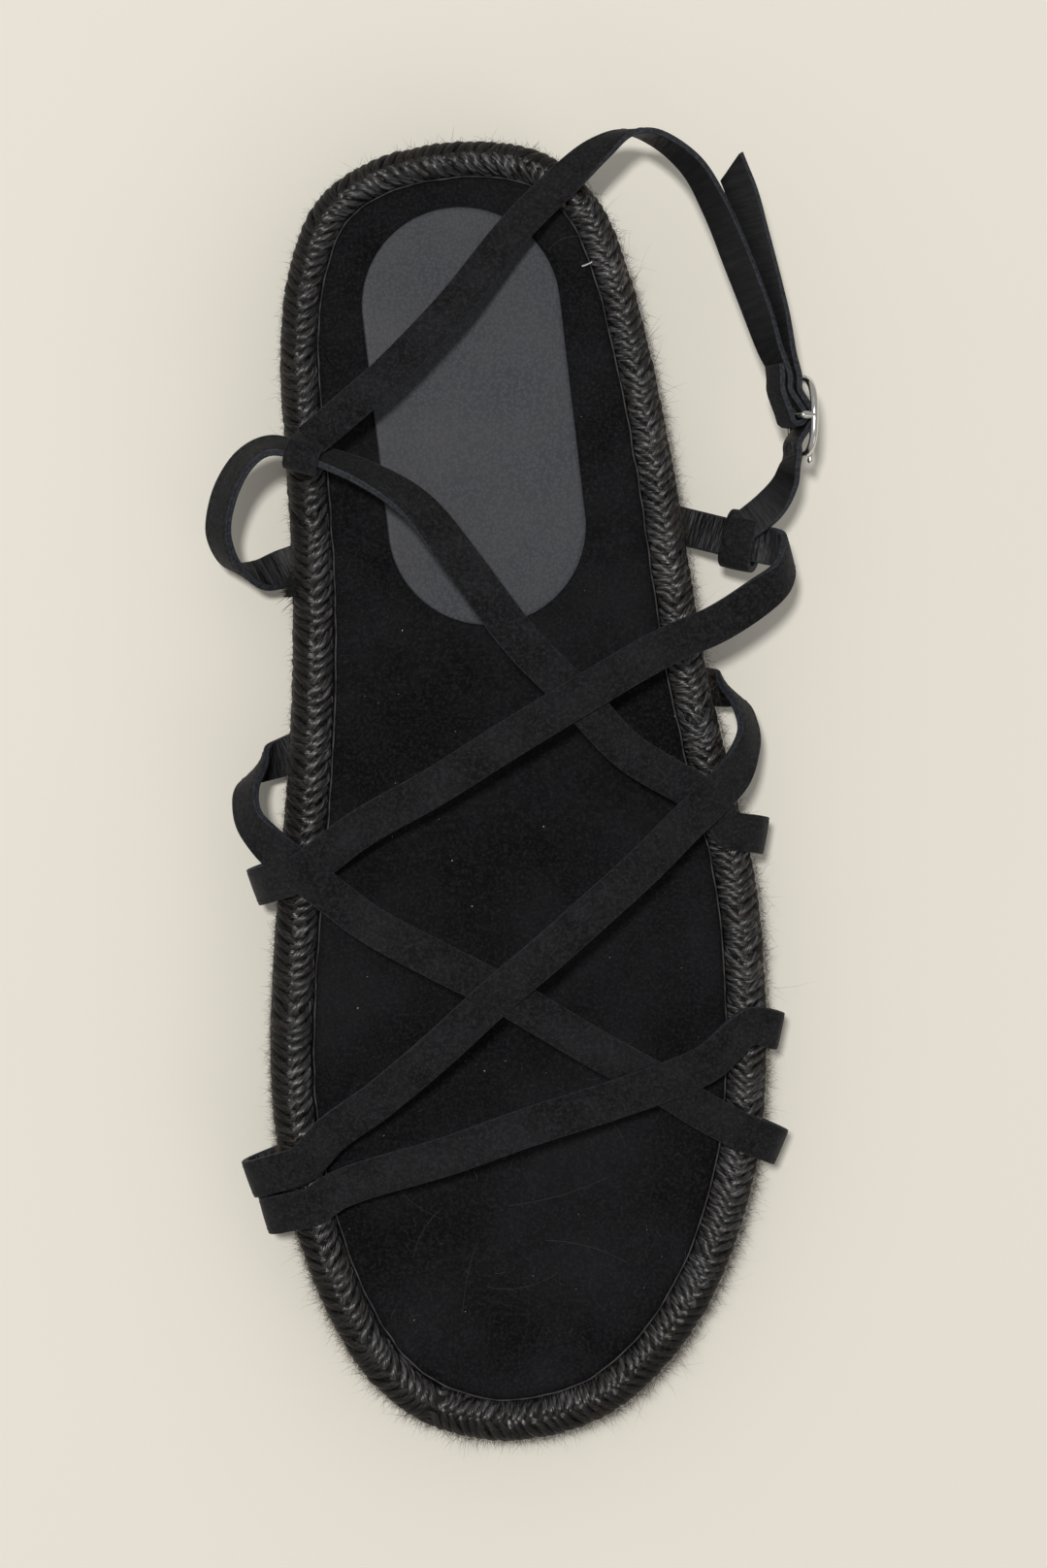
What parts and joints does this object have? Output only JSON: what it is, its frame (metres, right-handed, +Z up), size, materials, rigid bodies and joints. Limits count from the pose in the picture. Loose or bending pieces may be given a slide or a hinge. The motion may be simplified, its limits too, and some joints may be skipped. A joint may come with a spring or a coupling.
{
  "type": "espadrille sandal",
  "caption": "Left-foot flat sandal with a braided rope sole, crossed narrow suede straps and a fastened ankle strap with a small wire buckle.",
  "frame": {"origin": "on the ground under the middle of the sole's length and ball width, on the outsole's flat tread", "axes": "+Z up, +Y towards the heel, -Y towards the toe, +X towards the outer side of the foot"},
  "size_m": [0.125, 0.2686, 0.0493],
  "materials": {
    "outsole": "matt moulded rubber",
    "jute_sole": "black dyed jute braid, coiled and stitched",
    "rope_edging": "black dyed jute braid with a dull shine on its yarns",
    "insole": "black suede with a soft uneven nap",
    "heel_pad": "smooth grey leather with a fine grain, left bare",
    "upper_straps": "black suede, cut edges a little lighter, lined",
    "ankle_strap": "black suede, lined",
    "holed_strap": "black suede, lined, punched",
    "buckle_frame": "polished wire",
    "buckle_prong": "polished wire"
  },
  "bodies": {
    "root": {"outsole": "outsole", "jute_sole": "jute_sole", "rope_edging": "rope_edging", "insole": "insole", "heel_pad": "heel_pad", "upper_straps": "upper_straps", "ankle_strap": "ankle_strap", "holed_strap": "holed_strap", "buckle_frame": "buckle_frame", "buckle_prong": "buckle_prong"}
  },
  "joints": []
}
